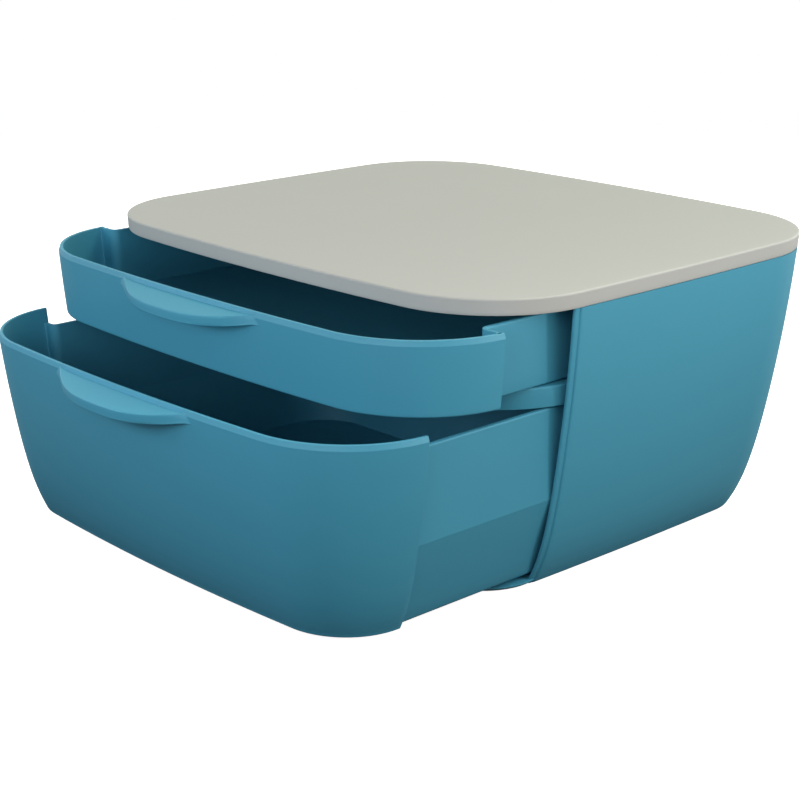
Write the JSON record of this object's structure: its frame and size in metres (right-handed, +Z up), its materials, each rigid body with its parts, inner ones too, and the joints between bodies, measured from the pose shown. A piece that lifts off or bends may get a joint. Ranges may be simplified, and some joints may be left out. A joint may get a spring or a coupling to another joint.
{
  "type": "file box with drawers",
  "caption": "Desktop file box for paper: bowl-shaped moulded housing with a flat pale lid, a shallow and a deep drawer whose curved fronts with pull tabs carry on the housing's outline.",
  "frame": {"origin": "centre of the housing's flat underside, between the four corners of its outline", "axes": "+Z up, -Y the way the drawers pull out, +X to the right as seen from the front"},
  "size_m": [0.3668, 0.4476, 0.1823],
  "materials": {
    "housing_plastic": "fine matt petrol blue",
    "drawer_plastic": "fine matt petrol blue",
    "lid_plastic": "fine matt light warm grey",
    "foot_rubber": "dark matt"
  },
  "bodies": {
    "cabinet": {"housing": "housing_plastic", "lid": "lid_plastic", "mid_shelf": "housing_plastic", "foot_front_left": "foot_rubber", "foot_front_right": "foot_rubber", "foot_rear_left": "foot_rubber", "foot_rear_right": "foot_rubber"},
    "upper_drawer": {"upper_drawer": "drawer_plastic"},
    "lower_drawer": {"lower_drawer": "drawer_plastic"}
  },
  "joints": [
    {"name": "upper_slide", "type": "slide", "parent": "cabinet", "child": "upper_drawer", "axis": [0, -1, 0], "range_m": [-0.0545, 0.1405]},
    {"name": "lower_slide", "type": "slide", "parent": "cabinet", "child": "lower_drawer", "axis": [0, -1, 0], "range_m": [-0.106, 0.089]}
  ]
}
